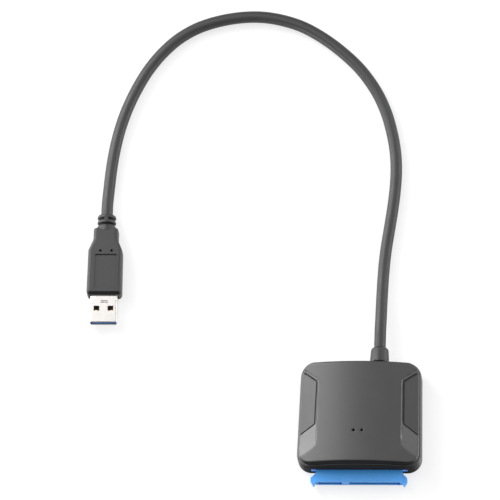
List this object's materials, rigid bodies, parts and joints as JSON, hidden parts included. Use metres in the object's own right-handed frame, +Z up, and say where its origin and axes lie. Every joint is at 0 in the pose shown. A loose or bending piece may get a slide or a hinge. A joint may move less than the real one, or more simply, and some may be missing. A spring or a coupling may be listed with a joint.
{
  "type": "usb to sata adapter",
  "caption": "Flat two-part housing with a drive receptacle at its front, lamp holes in its roof, and a short captive cord that ends in a USB plug.",
  "frame": {"origin": "on the floor, under the middle of the housing with its receptacle, cord left out", "axes": "+Z up through the roof, -Y out of the drive receptacle, +Y where the cord leaves, +X to the right"},
  "size_m": [0.151, 0.2236, 0.015],
  "materials": {
    "black_plastic": "fine spark texture, satin",
    "cord_plastic": "smooth soft moulding, satin",
    "blue_plastic": "smooth moulding, semi-gloss",
    "plated_steel": "bright nickel plate",
    "gold_plate": "gold flash over copper alloy",
    "board_laminate": "green solder resist",
    "chip_plastic": "moulded epoxy",
    "lamp_resin": "clear to milky resin",
    "wire_plastic": "smooth wire coat"
  },
  "bodies": {
    "root": {"top_cover": "black_plastic", "bottom_cover": "black_plastic", "sata_receptacle": "blue_plastic", "sata_signal_contact_1": "gold_plate", "sata_signal_contact_2": "gold_plate", "sata_signal_contact_3": "gold_plate", "sata_signal_contact_4": "gold_plate", "sata_signal_contact_5": "gold_plate", "sata_signal_contact_6": "gold_plate", "sata_signal_contact_7": "gold_plate", "sata_power_contact_1": "gold_plate", "sata_power_contact_2": "gold_plate", "sata_power_contact_3": "gold_plate", "sata_power_contact_4": "gold_plate", "sata_power_contact_5": "gold_plate", "sata_power_contact_6": "gold_plate", "sata_power_contact_7": "gold_plate", "sata_power_contact_8": "gold_plate", "sata_power_contact_9": "gold_plate", "sata_power_contact_10": "gold_plate", "sata_power_contact_11": "gold_plate", "sata_power_contact_12": "gold_plate", "sata_power_contact_13": "gold_plate", "sata_power_contact_14": "gold_plate", "sata_power_contact_15": "gold_plate", "circuit_board": "board_laminate", "bridge_chip": "chip_plastic", "flash_chip": "chip_plastic", "crystal": "plated_steel", "voltage_regulator": "chip_plastic", "power_inductor": "chip_plastic", "capacitor_1": "plated_steel", "capacitor_2": "plated_steel", "power_lamp": "lamp_resin", "activity_lamp": "lamp_resin", "power_jack_body": "chip_plastic", "power_jack_pin": "plated_steel", "power_jack_spring": "plated_steel", "case_screw_1": "plated_steel", "case_screw_2": "plated_steel", "strain_relief": "cord_plastic", "power_wire": "wire_plastic", "data_wire_minus": "wire_plastic", "data_wire_plus": "wire_plastic", "ground_wire": "wire_plastic", "usb_cable": "cord_plastic", "plug_grip": "cord_plastic", "usb_shell": "plated_steel", "usb_tongue": "blue_plastic", "usb_contact_1": "gold_plate", "usb_contact_2": "gold_plate", "usb_contact_3": "gold_plate", "usb_contact_4": "gold_plate", "usb_fast_contact_1": "gold_plate", "usb_fast_contact_2": "gold_plate", "usb_fast_contact_3": "gold_plate", "usb_fast_contact_4": "gold_plate", "usb_fast_contact_5": "gold_plate"}
  },
  "joints": []
}
